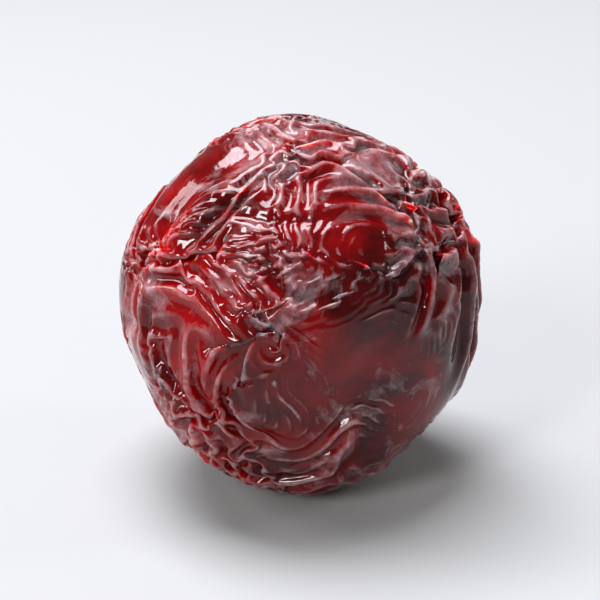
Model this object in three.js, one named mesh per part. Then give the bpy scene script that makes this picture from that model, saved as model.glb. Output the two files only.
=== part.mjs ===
// A candied prune: one small plum, preserved in sugar and half dried, so that its skin has sunk into
// soft lobes. It is one solid, because it grew as one piece.
//
// Millimetres, +Z up. The prune rests on a small flat spot on the plane Z = 0, and the origin is the
// middle of its outline on that plane. The front, where the blossom end is, faces -Y. The stem
// cavity is at the back, towards the top.
//
// Directions are given as a compass bearing, in degrees anticlockwise from +X seen from above, and a
// rise, in degrees above the horizon.

import * as THREE from "three";
import { mergeVertices } from "three/addons/utils/BufferGeometryUtils.js";

// Driving dimensions.
const WIDTH = 34.2; // along X
const DEPTH = 32.8; // along Y
const HEIGHT = 35.2; // from the resting plane to the crown
const SETTLING = 1.1; // how far the soft underside has flattened under the prune's own weight
const FLAT_EDGE = 0.35; // half the height over which that flat spot rounds into the side

// The surface is made of EDGE_STEPS squared triangles on each of an icosahedron's 20 faces.
const EDGE_STEPS = 15;

// A plum before its skin sank: a ball of this radius, which the fruit's size is then fitted to.
const BALL_RADIUS = 17;

// Lobes stand proud of that ball and hollows sink into it. Each has a bearing and a rise, the angle
// over which it fades, and its height in millimetres.
const LOBES = [
  { name: "right shoulder", bearing: 4, rise: 12, fade: 34, height: 1.2 },
  { name: "crown", bearing: 80, rise: 74, fade: 24, height: 0.7 },
  { name: "left shoulder", bearing: 172, rise: 16, fade: 22, height: 0.9 },
  { name: "front dome", bearing: -102, rise: 6, fade: 32, height: 0.8 },
  { name: "right foot", bearing: -62, rise: -62, fade: 22, height: 0.5 },
  { name: "back cheek", bearing: 118, rise: -22, fade: 34, height: 0.7 },
  { name: "back shoulder", bearing: 48, rise: -8, fade: 28, height: 0.7 },
];
const HOLLOWS = [
  { name: "left brow", bearing: 152, rise: 44, fade: 20, height: -0.7 },
  { name: "right brow", bearing: 24, rise: 54, fade: 20, height: -0.5 },
  { name: "left flank", bearing: -170, rise: -24, fade: 24, height: -0.9 },
  { name: "left heel", bearing: -135, rise: -52, fade: 24, height: -0.8 },
  { name: "right flank", bearing: -58, rise: -10, fade: 22, height: -0.8 },
  { name: "right heel", bearing: -10, rise: -42, fade: 20, height: -0.8 },
  { name: "back dip", bearing: 84, rise: -46, fade: 24, height: -0.6 },
];

// The stem cavity, where the stalk was, and the suture: the shallow groove that runs from it, over
// the right side, to the blossom end.
const STEM_END = { bearing: 74, rise: 34 };
const STEM_CAVITY_DEPTH = 2.2;
const STEM_CAVITY_FADE = 15; // degrees
const BLOSSOM_END = { bearing: -96, rise: 4 };
const SUTURE_SIDE = { bearing: 2, rise: -6 }; // a point that the suture passes over
const SUTURE_DEPTH = 0.6;
const SUTURE_FADE = 13; // degrees to each side of the groove
const SUTURE_START = 18; // degrees from the blossom end, where the groove begins
const SUTURE_FULL = 70; // degrees from the blossom end, where the groove is at its deepest

const FLESH_COLOUR = 0x6e1014;

function directionOf({ bearing, rise }) {
  const polar = THREE.MathUtils.degToRad(90 - rise);
  const around = THREE.MathUtils.degToRad(bearing);
  return new THREE.Vector3(
    Math.sin(polar) * Math.cos(around),
    Math.sin(polar) * Math.sin(around),
    Math.cos(polar),
  );
}

function degreesBetween(a, b) {
  return THREE.MathUtils.radToDeg(a.angleTo(b));
}

// 1 at the middle of a feature, fading smoothly over about the given angle.
function fadeOut(degrees, fade) {
  return Math.exp(-((degrees / fade) ** 2));
}

const swellings = [...LOBES, ...HOLLOWS].map((feature) => ({
  ...feature,
  direction: directionOf(feature),
}));
const stemEnd = directionOf(STEM_END);
const blossomEnd = directionOf(BLOSSOM_END);
const sutureSide = directionOf(SUTURE_SIDE);
// The suture lies in a plane through the prune's middle, on the half that holds the side point.
const suturePlane = new THREE.Vector3().crossVectors(blossomEnd, sutureSide).normalize();

function sutureDepthAt(direction) {
  if (direction.dot(sutureSide) <= 0) return 0;
  const offGroove = Math.abs(90 - degreesBetween(direction, suturePlane));
  const along = degreesBetween(direction, blossomEnd);
  const share = THREE.MathUtils.smoothstep(along, SUTURE_START, SUTURE_FULL);
  return SUTURE_DEPTH * share * direction.dot(sutureSide) * fadeOut(offGroove, SUTURE_FADE);
}

function radiusAt(direction) {
  const cavity = STEM_CAVITY_DEPTH * fadeOut(degreesBetween(direction, stemEnd), STEM_CAVITY_FADE);
  const lobes = swellings.reduce(
    (sum, s) => sum + s.height * fadeOut(degreesBetween(direction, s.direction), s.fade),
    0,
  );
  return BALL_RADIUS + lobes - cavity - sutureDepthAt(direction);
}

// Heights under the resting plane become 0, with a smooth turn at the flat spot's edge.
function settled(height) {
  if (height >= FLAT_EDGE) return height;
  if (height <= -FLAT_EDGE) return 0;
  return (height + FLAT_EDGE) ** 2 / (4 * FLAT_EDGE);
}

function eachPoint(geometry, change) {
  const place = geometry.getAttribute("position");
  const point = new THREE.Vector3();
  for (let i = 0; i < place.count; i++) {
    point.fromBufferAttribute(place, i);
    change(point);
    place.setXYZ(i, point.x, point.y, point.z);
  }
}

function pruneGeometry() {
  const geometry = new THREE.IcosahedronGeometry(1, EDGE_STEPS - 1);
  geometry.deleteAttribute("normal");
  geometry.deleteAttribute("uv");
  eachPoint(geometry, (point) => point.setLength(radiusAt(point.clone().normalize())));

  // Fit the fruit to its size, with its underside SETTLING below the resting plane.
  geometry.computeBoundingBox();
  const size = geometry.boundingBox.getSize(new THREE.Vector3());
  geometry.scale(WIDTH / size.x, DEPTH / size.y, (HEIGHT + SETTLING) / size.z);
  geometry.computeBoundingBox();
  const { min, max } = geometry.boundingBox;
  geometry.translate(-(min.x + max.x) / 2, -(min.y + max.y) / 2, -SETTLING - min.z);
  eachPoint(geometry, (point) => point.setZ(settled(point.z)));

  const merged = mergeVertices(geometry);
  merged.computeVertexNormals();
  return merged;
}

const flesh = new THREE.MeshStandardMaterial({
  name: "candied_flesh",
  color: FLESH_COLOUR,
  roughness: 0.22,
  metalness: 0,
});

const prune = new THREE.Mesh(pruneGeometry(), flesh);
prune.name = "prune";

const fruit = new THREE.Group();
fruit.add(prune);

export default fruit;
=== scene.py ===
import math

import bpy
import numpy as np
from mathutils import Euler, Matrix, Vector


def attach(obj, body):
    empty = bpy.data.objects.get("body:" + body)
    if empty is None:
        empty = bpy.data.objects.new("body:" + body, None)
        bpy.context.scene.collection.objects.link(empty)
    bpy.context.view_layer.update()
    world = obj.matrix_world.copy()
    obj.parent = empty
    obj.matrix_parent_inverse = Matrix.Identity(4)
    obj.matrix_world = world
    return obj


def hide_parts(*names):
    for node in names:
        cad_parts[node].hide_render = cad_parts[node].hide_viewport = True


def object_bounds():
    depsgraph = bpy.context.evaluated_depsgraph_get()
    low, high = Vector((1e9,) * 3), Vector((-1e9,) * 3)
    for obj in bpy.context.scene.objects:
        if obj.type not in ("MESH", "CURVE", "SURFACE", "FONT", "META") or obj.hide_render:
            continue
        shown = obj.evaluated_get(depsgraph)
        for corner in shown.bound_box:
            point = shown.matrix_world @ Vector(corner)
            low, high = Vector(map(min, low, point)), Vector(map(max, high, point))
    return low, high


# A candied prune: a small plum soaked in sugar and half dried. Its flesh has shrunk, so its skin is too
# big for it and has buckled, first into folds and then, on top of them, into fine wrinkles. The skin is
# made here in that way: a smooth ball of it is fitted to the prune's body, grows, and settles.
#
# Metres, +Z up, resting on Z = 0, the blossom end towards -Y. A direction from the prune's middle is
# a bearing, in degrees anticlockwise from +X seen from above, and a rise, in degrees above the horizon.

MM = 0.001

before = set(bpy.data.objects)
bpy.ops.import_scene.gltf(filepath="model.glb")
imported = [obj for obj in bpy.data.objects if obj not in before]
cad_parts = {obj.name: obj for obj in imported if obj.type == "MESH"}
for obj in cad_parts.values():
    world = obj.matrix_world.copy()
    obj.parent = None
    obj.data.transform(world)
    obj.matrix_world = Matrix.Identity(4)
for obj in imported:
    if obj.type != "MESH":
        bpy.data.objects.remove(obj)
cad_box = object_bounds()
low, high = [np.array(corner) for corner in cad_box]
middle = (low + high) / 2

# The skin's net: each edge of a 20-sided ball is cut this many times, and every thread once more for
# the wrinkles.
BALL_CUTS = 48
BALL_TURN = (0.5, 0.62, 0.4)
BALL_CLEARANCE = 1.1  # the ball starts this much bigger than the prune's box

# The poles that the wrinkles lie round: the blossom end, on the front dome, and the stem cavity.
BLOSSOM_END = (-98, 7)
STEM_END = (74, 34)

# Where the skin is quiet, crumpled, folded in rings round the blossom end, or gathered towards the
# stem: a direction, and the angle over which that fades.
QUIET_FLANK = (-42, -24, 34)
DOME = (-100, 3, 30)
CROWN = (-84, 58, 34)
RIGHT_SHOULDER = (-26, 34, 28)
LEFT_BROW = (176, 32, 44)
LEFT_HEEL = (-160, -20, 26)
STEM_CAVITY = (*STEM_END, 36)
# Small tight places where nothing has wrinkled.
WINDOWS = [(-31, 60, 4), (-62, 36, 4)]
# Painted glow and painted shade: where the flesh's red is painted lighter, as if light shone through thin
# flesh, and darker, as if the underside and lower flank were in shade.
PAINTED_GLOW = [
    (-112, 4, 26), (-31, 60, 7), (-104, 54, 7), (-83, 53, 7), (-152, 34, 14), (160, 20, 30), (60, -20, 26),
]
PAINTED_SHADE = [(-44, -8, 26), (-56, -32, 26), (-78, -40, 18), (20, -30, 26), (120, -20, 26)]
# Where sugar has dried on the skin, with painted sheen: the pale film lies mostly on the crown, the shoulders
# and the lower rim, where the lamps and the bright floor would be reflected.
FROSTED_AND_SHEEN = [
    (-122, 64, 22), (-84, 72, 20), (-40, 64, 12), (4, 50, 22), (-44, 36, 10), (-152, -24, 20), (-96, -26, 16),
    (176, 24, 24), (74, 60, 26), (100, -10, 26), (40, -30, 20),
]

# Furrows that were there before the skin wrinkled, and one ridge, which is a furrow of negative depth:
# depth and half-width in millimetres, and a path.
FURROWS = [
    {"name": "behind the dome", "depth": 0.75, "width": 1.7,
     "path": [(-166, -6), (-160, 12), (-155, 28), (-150, 46), (-140, 64), (-118, 76)]},
    {"name": "under the dome", "depth": 0.55, "width": 2.0,
     "path": [(-61, 12), (-69, -7), (-77, -24), (-86, -44)]},
    {"name": "left pleat", "depth": 0.5, "width": 0.7,
     "path": [(-172, -3), (-158, 1), (-140, 5), (-128, 9)]},
    {"name": "right pleat", "depth": 0.6, "width": 0.9,
     "path": [(9, 52), (-11, 37), (-20, 22), (-20, 2), (-22, -16)]},
    {"name": "chin", "depth": 0.5, "width": 0.7,
     "path": [(-101, 37), (-99, 25), (-86, 20), (-74, 24), (-72, 36)]},
    {"name": "brow", "depth": 0.2, "width": 0.8,
     "path": [(-132, 50), (-112, 45), (-90, 44), (-66, 46), (-48, 40)]},
    {"name": "left ridge", "depth": -0.45, "width": 1.3,
     "path": [(-150, 8), (-147, 17), (-141, 32), (-133, 44), (-124, 61)]},
    {"name": "back pleat", "depth": 0.5, "width": 1.0,
     "path": [(66, 10), (60, -12), (72, -34), (95, -50)]},
    {"name": "back brow", "depth": 0.5, "width": 1.0,
     "path": [(104, 34), (126, 24), (146, 4), (152, -20)]},
]


def linear(colour):
    """A colour such as "#7a0a10" as the linear red, green, blue and alpha that shaders take."""
    parts = [int(colour[i : i + 2], 16) / 255 for i in (1, 3, 5)]
    return tuple(p / 12.92 if p <= 0.04045 else ((p + 0.055) / 1.055) ** 2.4 for p in parts) + (1,)


# Directions, and fields over them

def direction(bearing, rise):
    b, r = math.radians(bearing), math.radians(rise)
    return np.array([math.cos(r) * math.cos(b), math.cos(r) * math.sin(b), math.sin(r)])


def directions_of(points):
    away = points - middle
    return away / np.linalg.norm(away, axis=1, keepdims=True)


def spot(ways, bearing, rise, fade):
    """1 at a direction, fading smoothly over about an angle."""
    angle = np.degrees(np.arccos(np.clip(ways @ direction(bearing, rise), -1, 1)))
    return np.exp(-((angle / fade) ** 2))


def waves(ways, seed, pitch, count=12):
    """A smooth random field over the prune, about -1 to 1: waves in random directions, added up."""
    draw = np.random.default_rng(seed)
    aim = draw.standard_normal((count, 3))
    aim *= pitch * (0.6 + 0.8 * draw.random((count, 1))) / np.linalg.norm(aim, axis=1, keepdims=True)
    return np.cos(ways @ aim.T + draw.random(count) * math.tau).sum(1) / math.sqrt(count / 2)


def rings_and_spokes(ways, pole, turn):
    """Directions along the skin, away from a pole and round it, turned by an angle at each point."""
    round_it = np.cross(np.broadcast_to(direction(*pole), ways.shape), ways)
    round_it /= np.linalg.norm(round_it, axis=1, keepdims=True) + 1e-6
    away = np.cross(round_it, ways)
    c, s = np.cos(turn)[:, None], np.sin(turn)[:, None]
    return away * c + round_it * s, round_it * c - away * s


def furrow(ways, depth, width, path):
    """How deep, in metres, a furrow along a path of directions is at each point."""
    corners = [direction(*p) for p in path]
    steps = 24  # points from one corner of the path to the next
    rounding = 120  # rounds of averaging, which turn the corners into bends
    line = np.array([a + (b - a) * k / steps for a, b in zip(corners, corners[1:]) for k in range(steps)])
    for _ in range(rounding):
        line[1:-1] = (line[:-2] + line[2:]) / 2
    line /= np.linalg.norm(line, axis=1, keepdims=True)
    share = np.sin(np.linspace(0, math.pi, len(line))) ** 0.6
    radius = float((high - low).mean()) / 2
    best = np.zeros(len(ways))
    for point, strength in zip(line, share):
        gap = radius * np.sqrt(np.maximum(2 - 2 * ways @ point, 0))
        best = np.maximum(best, strength * np.exp(-((gap / (width * MM)) ** 2)))
    return best * depth * MM


# The skin as a net of threads

def select_only(thing):
    bpy.ops.object.select_all(action="DESELECT")
    bpy.context.view_layer.objects.active = thing
    thing.select_set(True)


def add_modifier(thing, kind, **settings):
    modifier = thing.modifiers.new(kind.lower(), kind)
    for name, value in settings.items():
        setattr(modifier, name, value)


def apply_modifiers(thing):
    select_only(thing)
    for modifier in list(thing.modifiers):
        bpy.ops.object.modifier_apply(modifier=modifier.name)


def points_of(mesh):
    flat = np.empty(len(mesh.vertices) * 3, np.float32)
    mesh.vertices.foreach_get("co", flat)
    return flat.reshape(-1, 3)


def set_points(mesh, points):
    mesh.vertices.foreach_set("co", np.ascontiguousarray(points, np.float32).ravel())
    mesh.update()


def neighbours(sides, count):
    """The six partners of each point along the sides of its triangles; a missing one is the point itself."""
    both = np.vstack([sides, sides[:, ::-1]])
    both = both[np.argsort(both[:, 0], kind="stable")]
    place = np.arange(len(both)) - np.searchsorted(both[:, 0], np.arange(count))[both[:, 0]]
    partners = np.repeat(np.arange(count)[:, None], 6, 1)
    partners[both[:, 0], place] = both[:, 1]
    return partners


class Skin:
    """The prune's skin as a net of triangles, with a thread along each side.

    Everything in it is measured in thread lengths, which keeps the stiffnesses plain numbers.
    """

    def __init__(self, mesh):
        points = points_of(mesh)
        sides = np.empty(len(mesh.edges) * 2, np.int32)
        mesh.edges.foreach_get("vertices", sides)
        sides = sides.reshape(-1, 2)
        self.triangles = np.empty(len(mesh.polygons) * 3, np.int32)
        mesh.polygons.foreach_get("vertices", self.triangles)
        self.triangles = self.triangles.reshape(-1, 3)
        self.next = neighbours(sides, len(points))
        self.real = (self.next != np.arange(len(points))[:, None]).astype(np.float32)
        self.even = self.real / self.real.sum(1, keepdims=True)
        self.thread = float(np.linalg.norm(points[sides[:, 0]] - points[sides[:, 1]], axis=1).mean())
        self.rest_shape = points / self.thread
        self.ways = directions_of(points)

    def metres(self, shape):
        return shape * self.thread

    def bend(self, shape):
        """How far each point is from the middle of those around it."""
        return np.einsum("ij,ijk->ik", self.even, shape[self.next]) - shape

    def outward(self, shape):
        a, b, c = [shape[self.triangles[:, corner]] for corner in range(3)]
        face = np.cross(b - a, c - a)
        out = np.zeros_like(shape)
        for corner in range(3):
            for axis in range(3):
                weights = face[:, axis]
                out[:, axis] += np.bincount(self.triangles[:, corner], weights, len(shape)).astype(np.float32)
        return out / np.linalg.norm(out, axis=1, keepdims=True)

    def growth(self, evenly, directed):
        """Each thread's share of growth: the same every way, and more along the given directions."""
        thread = self.rest_shape[self.next] - self.rest_shape[:, None]
        thread /= np.linalg.norm(thread, axis=-1, keepdims=True) + 1e-9
        grown = np.repeat(evenly[:, None], 6, 1)
        for amount, along in directed:
            grown = grown + amount[:, None] * np.einsum("ijk,ik->ij", thread, along) ** 2
        return (grown * self.real).astype(np.float32)

    def buckled(self, growth, bending, flesh_under, flesh_over, steps, seed):
        """The shape that the skin settles in once it has grown.

        The threads push it out of place, bending stiffness keeps it from kinking, and the flesh
        pulls it back, harder or softer under the surface than over it. The two stiffnesses
        together set how far apart the wrinkles are.
        """
        rest = self.rest_shape
        out = self.outward(rest)
        length = np.linalg.norm(rest[self.next] - rest[:, None], axis=-1) * (1 + growth)
        pull = 0.5 * self.real
        flat_bend = self.bend(rest)
        kick = np.random.default_rng(seed).standard_normal(len(rest)).astype(np.float32) * 0.02
        shape = rest + out * kick[:, None]
        speed = np.zeros_like(shape)
        step, keep = 0.35, 0.92  # of time, and of the speed that is left after each step
        sliding = 0.002  # how hard the flesh holds the skin against sliding along it
        for _ in range(steps):
            thread = shape[self.next] - shape[:, None]
            long = np.sqrt(np.einsum("ijk,ijk->ij", thread, thread)) + 1e-9
            force = np.einsum("ij,ijk->ik", pull * (1 - length / long), thread)
            force -= bending * self.bend(self.bend(shape) - flat_bend)
            moved = shape - rest
            height = np.einsum("ij,ij->i", moved, out)
            flesh = np.where(height > 0, flesh_over, flesh_under)
            force -= ((flesh - sliding) * height)[:, None] * out + sliding * moved
            speed = keep * (speed + step * force)
            shape = (shape + step * speed).astype(np.float32)
            sunk = shape[:, 2] < 0
            shape[sunk, 2] = 0
            speed[sunk, 2] = 0
        return shape


def merged_copy(node):
    """A copy of a CAD solid with its loose triangles joined."""
    copy = node.copy()
    copy.data = node.data.copy()
    bpy.context.collection.objects.link(copy)
    select_only(copy)
    bpy.ops.object.mode_set(mode="EDIT")
    bpy.ops.mesh.select_all(action="SELECT")
    bpy.ops.mesh.remove_doubles(threshold=0.001 * MM)
    bpy.ops.object.mode_set(mode="OBJECT")
    return copy


def subdivide(thing, cuts):
    select_only(thing)
    bpy.ops.object.mode_set(mode="EDIT")
    bpy.ops.mesh.select_all(action="SELECT")
    bpy.ops.mesh.subdivide(number_cuts=cuts)
    bpy.ops.object.mode_set(mode="OBJECT")


def smooth_skin(body):
    """A ball of even triangles, fitted to the prune's body."""
    bpy.ops.object.select_all(action="DESELECT")
    bpy.ops.mesh.primitive_ico_sphere_add(subdivisions=1, radius=1)
    skin = bpy.context.active_object
    skin.name = "candied_prune"
    subdivide(skin, BALL_CUTS)
    # The ball is turned, so that no row of triangles is level or upright.
    turn = np.array(Euler(BALL_TURN).to_matrix())
    ball = points_of(skin.data)
    ball = ball / np.linalg.norm(ball, axis=1, keepdims=True) @ turn.T
    set_points(skin.data, middle + ball * (high - low) / 2 * BALL_CLEARANCE)
    add_modifier(
        skin, "SHRINKWRAP", target=body, wrap_method="PROJECT",
        use_negative_direction=True, use_positive_direction=False,
    )
    add_modifier(skin, "SMOOTH", factor=0.5, iterations=14)
    apply_modifiers(skin)
    return skin


def press_furrows(skin):
    """Sinks the furrows into the smooth skin, raises the ridge, and gives the skin some soft lumps."""
    points = points_of(skin.data)
    ways = directions_of(points)
    depth = 0.30 * MM - 0.20 * MM * waves(ways, 77, 5.0)
    for line in FURROWS:
        depth = depth + furrow(ways, line["depth"], line["width"], line["path"])
    points = points - depth[:, None] * ways
    points[:, 2] = np.maximum(points[:, 2], 0)
    set_points(skin.data, points)


def regions(ways):
    """How much of each kind of place every point is in, and how quiet it is, from 0 to 1."""
    windows = np.clip(sum(spot(ways, *w) for w in WINDOWS), 0, 1)
    return {
        "quiet": (1 - 0.88 * spot(ways, *QUIET_FLANK)) * (1 - 0.9 * windows),
        "dome": spot(ways, *DOME),
        "crumpled": spot(ways, *CROWN) + 0.7 * spot(ways, *RIGHT_SHOULDER),
        "ringed": spot(ways, *LEFT_BROW) + 0.6 * spot(ways, *LEFT_HEEL),
        "stem": spot(ways, *STEM_CAVITY),
    }


def fold(skin):
    """The broad folds, about 2.5 mm apart."""
    net = Skin(skin.data)
    ways, place = net.ways, regions(net.ways)
    patchy = waves(ways, 5, 4.5)
    evenly = (0.07 + 0.10 * place["crumpled"] + 0.05 * patchy).clip(0.01, 0.24)
    evenly = evenly * place["quiet"] * (1 - 0.8 * place["dome"])
    rings = 0.03 + 0.07 * place["ringed"] + 0.08 * place["dome"] + 0.05 * waves(ways, 8, 7.0)
    rings = rings.clip(0, 0.3) * place["quiet"] * (1 - place["stem"])
    away, _ = rings_and_spokes(ways, BLOSSOM_END, 0.4 + 0.7 * waves(ways, 12, 5.0))
    _, around = rings_and_spokes(ways, STEM_END, 0.3 * waves(ways, 13, 5.0))
    growth = net.growth(evenly, [(rings, away), (0.14 * place["stem"], around)])
    flesh = 0.008 * np.exp(0.9 * waves(ways, 21, 3.5)) * (1 + 2 * place["dome"])
    shape = net.buckled(growth, 0.09, flesh, flesh * 1.2, steps=400, seed=1)
    set_points(skin.data, net.metres(shape))


def wrinkle(skin):
    """The fine wrinkles, about 1.2 mm apart, on the folds."""
    subdivide(skin, 1)
    add_modifier(skin, "SMOOTH", factor=0.5, iterations=2)
    apply_modifiers(skin)
    net = Skin(skin.data)
    ways, place = net.ways, regions(net.ways)
    patchy = waves(ways, 31, 7.0)
    evenly = (0.035 - 0.01 * place["crumpled"] + 0.04 * place["dome"] + 0.05 * patchy).clip(0, 0.2)
    evenly = evenly * place["quiet"]
    rings = 0.03 + 0.10 * place["dome"] + 0.03 * place["ringed"] + 0.05 * waves(ways, 33, 9.0)
    rings = rings.clip(0, 0.3) * place["quiet"] * (1 - place["stem"])
    away, _ = rings_and_spokes(ways, BLOSSOM_END, 1.2 * waves(ways, 14, 7.0))
    _, around = rings_and_spokes(ways, STEM_END, 0.3 * waves(ways, 13, 5.0))
    growth = net.growth(evenly, [(rings, away), (0.06 * place["stem"], around)])
    flesh = 0.006 * np.exp(1.1 * waves(ways, 41, 6.0))
    shape = net.buckled(growth, 0.11, flesh * 2.5, flesh, steps=200, seed=2)
    store_ridges(skin, net, shape)
    # The painted glow and painted shade, kept on each point for the red of the flesh.
    painted_glow_and_shade = sum(spot(ways, *g) for g in PAINTED_GLOW) - sum(spot(ways, *d) for d in PAINTED_SHADE)
    store(skin, "painted_glow_and_shade", np.clip(painted_glow_and_shade, -1, 1))
    # Dried sugar and painted sheen, kept on each point.
    store(skin, "frost_and_sheen", np.clip(0.3 + sum(spot(ways, *f) for f in FROSTED_AND_SHEEN), 0, 1.4))
    return net.metres(shape)


def store(skin, name, values):
    kept = skin.data.attributes.new(name, "FLOAT", "POINT")
    kept.data.foreach_set("value", values.astype(np.float32))


def local_mean(net, values, rounds):
    for _ in range(rounds):
        values = values + 0.9 * (np.einsum("ij,ij->i", net.even, values[net.next]) - values)
    return values


def store_ridges(skin, net, shape):
    """Keeps on each point whether it is on a crest, 1, or in a crease, -1, however low the wrinkles are."""
    curl = -np.einsum("ij,ij->i", net.bend(shape), net.outward(shape))
    curl = local_mean(net, curl, 2)
    curl = curl - local_mean(net, curl, 60)
    usual = np.sqrt(local_mean(net, curl**2, 60))
    crest = np.clip(curl / (1.6 * usual + 0.004), -1, 1)
    store(skin, "crest", crest)


def fit_to_size(skin, points):
    """The wrinkled skin, stretched by the last part of a millimetre to the prune's size."""
    lowest, highest = points.min(0), points.max(0)
    points = (points - (lowest + highest) / 2) * ((high - low) / (highest - lowest)) + middle
    set_points(skin.data, points)


# Materials

def add_node(tree, kind, inputs=(), links=(), **settings):
    """Adds a node with its settings, input values and links from other nodes' outputs."""
    made = tree.nodes.new(kind)
    for name, value in settings.items():
        setattr(made, name, value)
    for socket, value in dict(inputs).items():
        made.inputs[socket].default_value = value
    for socket, output in dict(links).items():
        tree.links.new(output, made.inputs[socket])
    return made


def new_material(name):
    material = bpy.data.materials.new(name)
    material.use_nodes = True
    return material, material.node_tree, material.node_tree.nodes["Principled BSDF"]


def candied_plum():
    """Plum flesh soaked in sugar: dark red jelly that light sinks into, under a wet, glassy skin."""
    material, tree, shader = new_material("candied_plum_flesh")
    place = add_node(tree, "ShaderNodeTexCoord").outputs["Object"]
    crest = add_node(tree, "ShaderNodeAttribute", attribute_name="crest").outputs["Fac"]

    # The depth of the flesh under the skin changes over about 7 mm, and its red with it. On top of that the
    # red is painted lighter where glow is painted, as if light shone through, and darker where shade is
    # painted on the underside.
    depth = add_node(
        tree, "ShaderNodeTexNoise",
        {"Scale": 150.0, "Detail": 4.0, "Roughness": 0.6, "Distortion": 0.6}, {"Vector": place},
    )
    painted_glow_and_shade = add_node(tree, "ShaderNodeAttribute", attribute_name="painted_glow_and_shade").outputs["Fac"]
    lit = add_node(
        tree, "ShaderNodeMath", {1: 0.08}, {0: painted_glow_and_shade, 2: depth.outputs["Fac"]}, operation="MULTIPLY_ADD",
    )
    red = add_node(tree, "ShaderNodeValToRGB", links={"Fac": lit.outputs[0]})
    red.color_ramp.elements[0].position, red.color_ramp.elements[1].position = 0.34, 0.68
    red.color_ramp.elements[0].color = linear("#3a0102")
    red.color_ramp.elements[1].color = linear("#880306")

    # A grey film, partly dried sugar and partly painted sheen, lies in patches of 2 to 6 mm, more of it where
    # the skin is frosted. A thin pale line, dried sugar with a painted highlight, runs along each crest.
    film_and_sheen_noise = add_node(
        tree, "ShaderNodeTexNoise",
        {"Scale": 170.0, "Detail": 5.0, "Roughness": 0.65, "Distortion": 1.0}, {"Vector": place},
    )
    frost_and_sheen = add_node(tree, "ShaderNodeAttribute", attribute_name="frost_and_sheen").outputs["Fac"]
    film_and_sheen_amount = add_node(
        tree, "ShaderNodeMath", {1: 0.08}, {0: frost_and_sheen, 2: film_and_sheen_noise.outputs["Fac"]}, operation="MULTIPLY_ADD",
    )
    film_and_sheen_mask = add_node(
        tree, "ShaderNodeMapRange",
        {"From Min": 0.585, "From Max": 0.66, "To Min": 0.0, "To Max": 0.5}, {"Value": film_and_sheen_amount.outputs[0]},
    )
    # Painted highlight: a pale line along each crest, where ridges would catch the lamps, with some dried
    # sugar.
    crest_highlight_lines = add_node(
        tree, "ShaderNodeMapRange",
        {"From Min": 0.45, "From Max": 1.0, "To Min": 0.0, "To Max": 0.8}, {"Value": crest},
    )
    sugar_and_sheen = add_node(
        tree, "ShaderNodeMath", links={0: film_and_sheen_mask.outputs[0], 1: crest_highlight_lines.outputs[0]}, operation="ADD",
    )
    # The finest creases in the skin, under 1 mm apart.
    creases = add_node(
        tree, "ShaderNodeTexNoise",
        {"Scale": 700.0, "Detail": 4.0, "Roughness": 0.5, "Distortion": 1.0}, {"Vector": place},
        noise_type="RIDGED_MULTIFRACTAL",
    )
    # The film, with its painted sheen and crest highlights, is grainy. Its grains are drawn about 1 mm
    # across, coarser than they are, so that they show.
    speckle = add_node(
        tree, "ShaderNodeTexNoise", {"Scale": 800.0, "Detail": 3.0, "Roughness": 0.7}, {"Vector": place},
    )
    grains = add_node(
        tree, "ShaderNodeMapRange",
        {"From Min": 0.38, "From Max": 0.62, "To Min": 0.25, "To Max": 1.0},
        {"Value": speckle.outputs["Fac"]},
    )
    grainy_sugar_and_sheen = add_node(
        tree, "ShaderNodeMath", links={0: sugar_and_sheen.outputs[0], 1: grains.outputs[0]}, operation="MULTIPLY",
    )
    colour = add_node(tree, "ShaderNodeMix", data_type="RGBA")
    # The pale grey-pink of the dried sugar and of the painted sheen and highlights.
    colour.inputs[7].default_value = linear("#a48e92")
    tree.links.new(grainy_sugar_and_sheen.outputs[0], colour.inputs["Factor"])
    tree.links.new(red.outputs[0], colour.inputs[6])
    tree.links.new(colour.outputs[2], shader.inputs["Base Color"])
    shine = add_node(
        tree, "ShaderNodeMapRange",
        {"From Min": 0.0, "From Max": 0.4, "To Min": 0.06, "To Max": 0.15}, {"Value": grainy_sugar_and_sheen.outputs[0]},
    )
    tree.links.new(shine.outputs[0], shader.inputs["Roughness"])

    bump = add_node(
        tree, "ShaderNodeBump", {"Strength": 0.7, "Distance": 0.05 * MM}, {"Height": creases.outputs["Fac"]},
    )
    tree.links.new(bump.outputs[0], shader.inputs["Normal"])

    shader.inputs["IOR"].default_value = 1.40
    shader.inputs["Subsurface Weight"].default_value = 0.8
    shader.inputs["Subsurface Radius"].default_value = (1.0, 0.10, 0.08)
    shader.inputs["Subsurface Scale"].default_value = 3 * MM
    return material


def matt_card():
    """Smooth white card: even, and without shine."""
    material, _, shader = new_material("matt_card")
    shader.inputs["Base Color"].default_value = linear("#a2a2a2")
    shader.inputs["Roughness"].default_value = 0.8
    return material


# Light and camera

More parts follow.
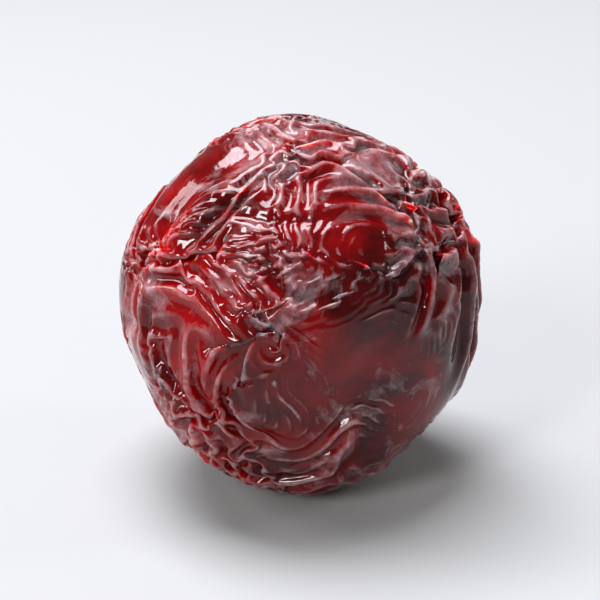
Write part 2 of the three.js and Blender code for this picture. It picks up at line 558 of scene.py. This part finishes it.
def softbox(name, place, size, power, colour):
    lamp = bpy.data.lights.new(name, "AREA")
    lamp.shape = "RECTANGLE"
    lamp.size, lamp.size_y = size
    lamp.energy = power
    lamp.color = linear(colour)[:3]
    box = bpy.data.objects.new(name, lamp)
    bpy.context.scene.collection.objects.link(box)
    box.location = place
    box.visible_camera = False
    box.rotation_euler = (Vector(middle) - box.location).to_track_quat("-Z", "Y").to_euler()


def studio():
    bpy.ops.object.select_all(action="DESELECT")
    bpy.ops.mesh.primitive_plane_add(size=3)
    floor = bpy.context.active_object
    floor.name = "floor"
    floor.data.materials.append(matt_card())
    softbox("overhead", (-0.18, 0.15, 0.90), (0.48, 0.66), 18.0, "#f6f8ff")
    softbox("left_side", (-0.60, 0.10, 0.36), (0.16, 0.30), 1.5, "#ffffff")
    softbox("right_side", (0.60, 0.05, 0.36), (0.12, 0.20), 0.7, "#ffffff")
    softbox("behind", (0.25, 0.80, 0.25), (0.9, 0.25), 1.2, "#ffffff")
    softbox("front_left", (-0.40, -0.52, 0.36), (0.14, 0.26), 3.2, "#ffffff")
    room = bpy.data.worlds.new("studio")
    room.use_nodes = True
    room.node_tree.nodes["Background"].inputs["Color"].default_value = (1, 1, 1, 1)
    room.node_tree.nodes["Background"].inputs["Strength"].default_value = 0.16
    bpy.context.scene.world = room
    bpy.context.scene.view_settings.view_transform = "Standard"


def camera():
    lens = bpy.data.cameras.new("camera")
    lens.lens = 85
    eye = bpy.data.objects.new("camera", lens)
    bpy.context.scene.collection.objects.link(eye)
    elevation = math.radians(21)
    share_of_frame = 0.62
    distance = (high - low)[2] / share_of_frame / lens.sensor_width * lens.lens
    target = Vector(middle)
    eye.location = target + Vector((0, -math.cos(elevation), math.sin(elevation))) * distance
    eye.rotation_euler = (target - eye.location).to_track_quat("-Z", "Y").to_euler()
    bpy.context.scene.camera = eye


body = merged_copy(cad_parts["prune"])
prune = smooth_skin(body)
bpy.data.objects.remove(body)
press_furrows(prune)
fold(prune)
fit_to_size(prune, wrinkle(prune))
select_only(prune)
bpy.ops.object.shade_smooth()
prune.data.materials.append(candied_plum())

studio()
camera()

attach(prune, "root")
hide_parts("prune")
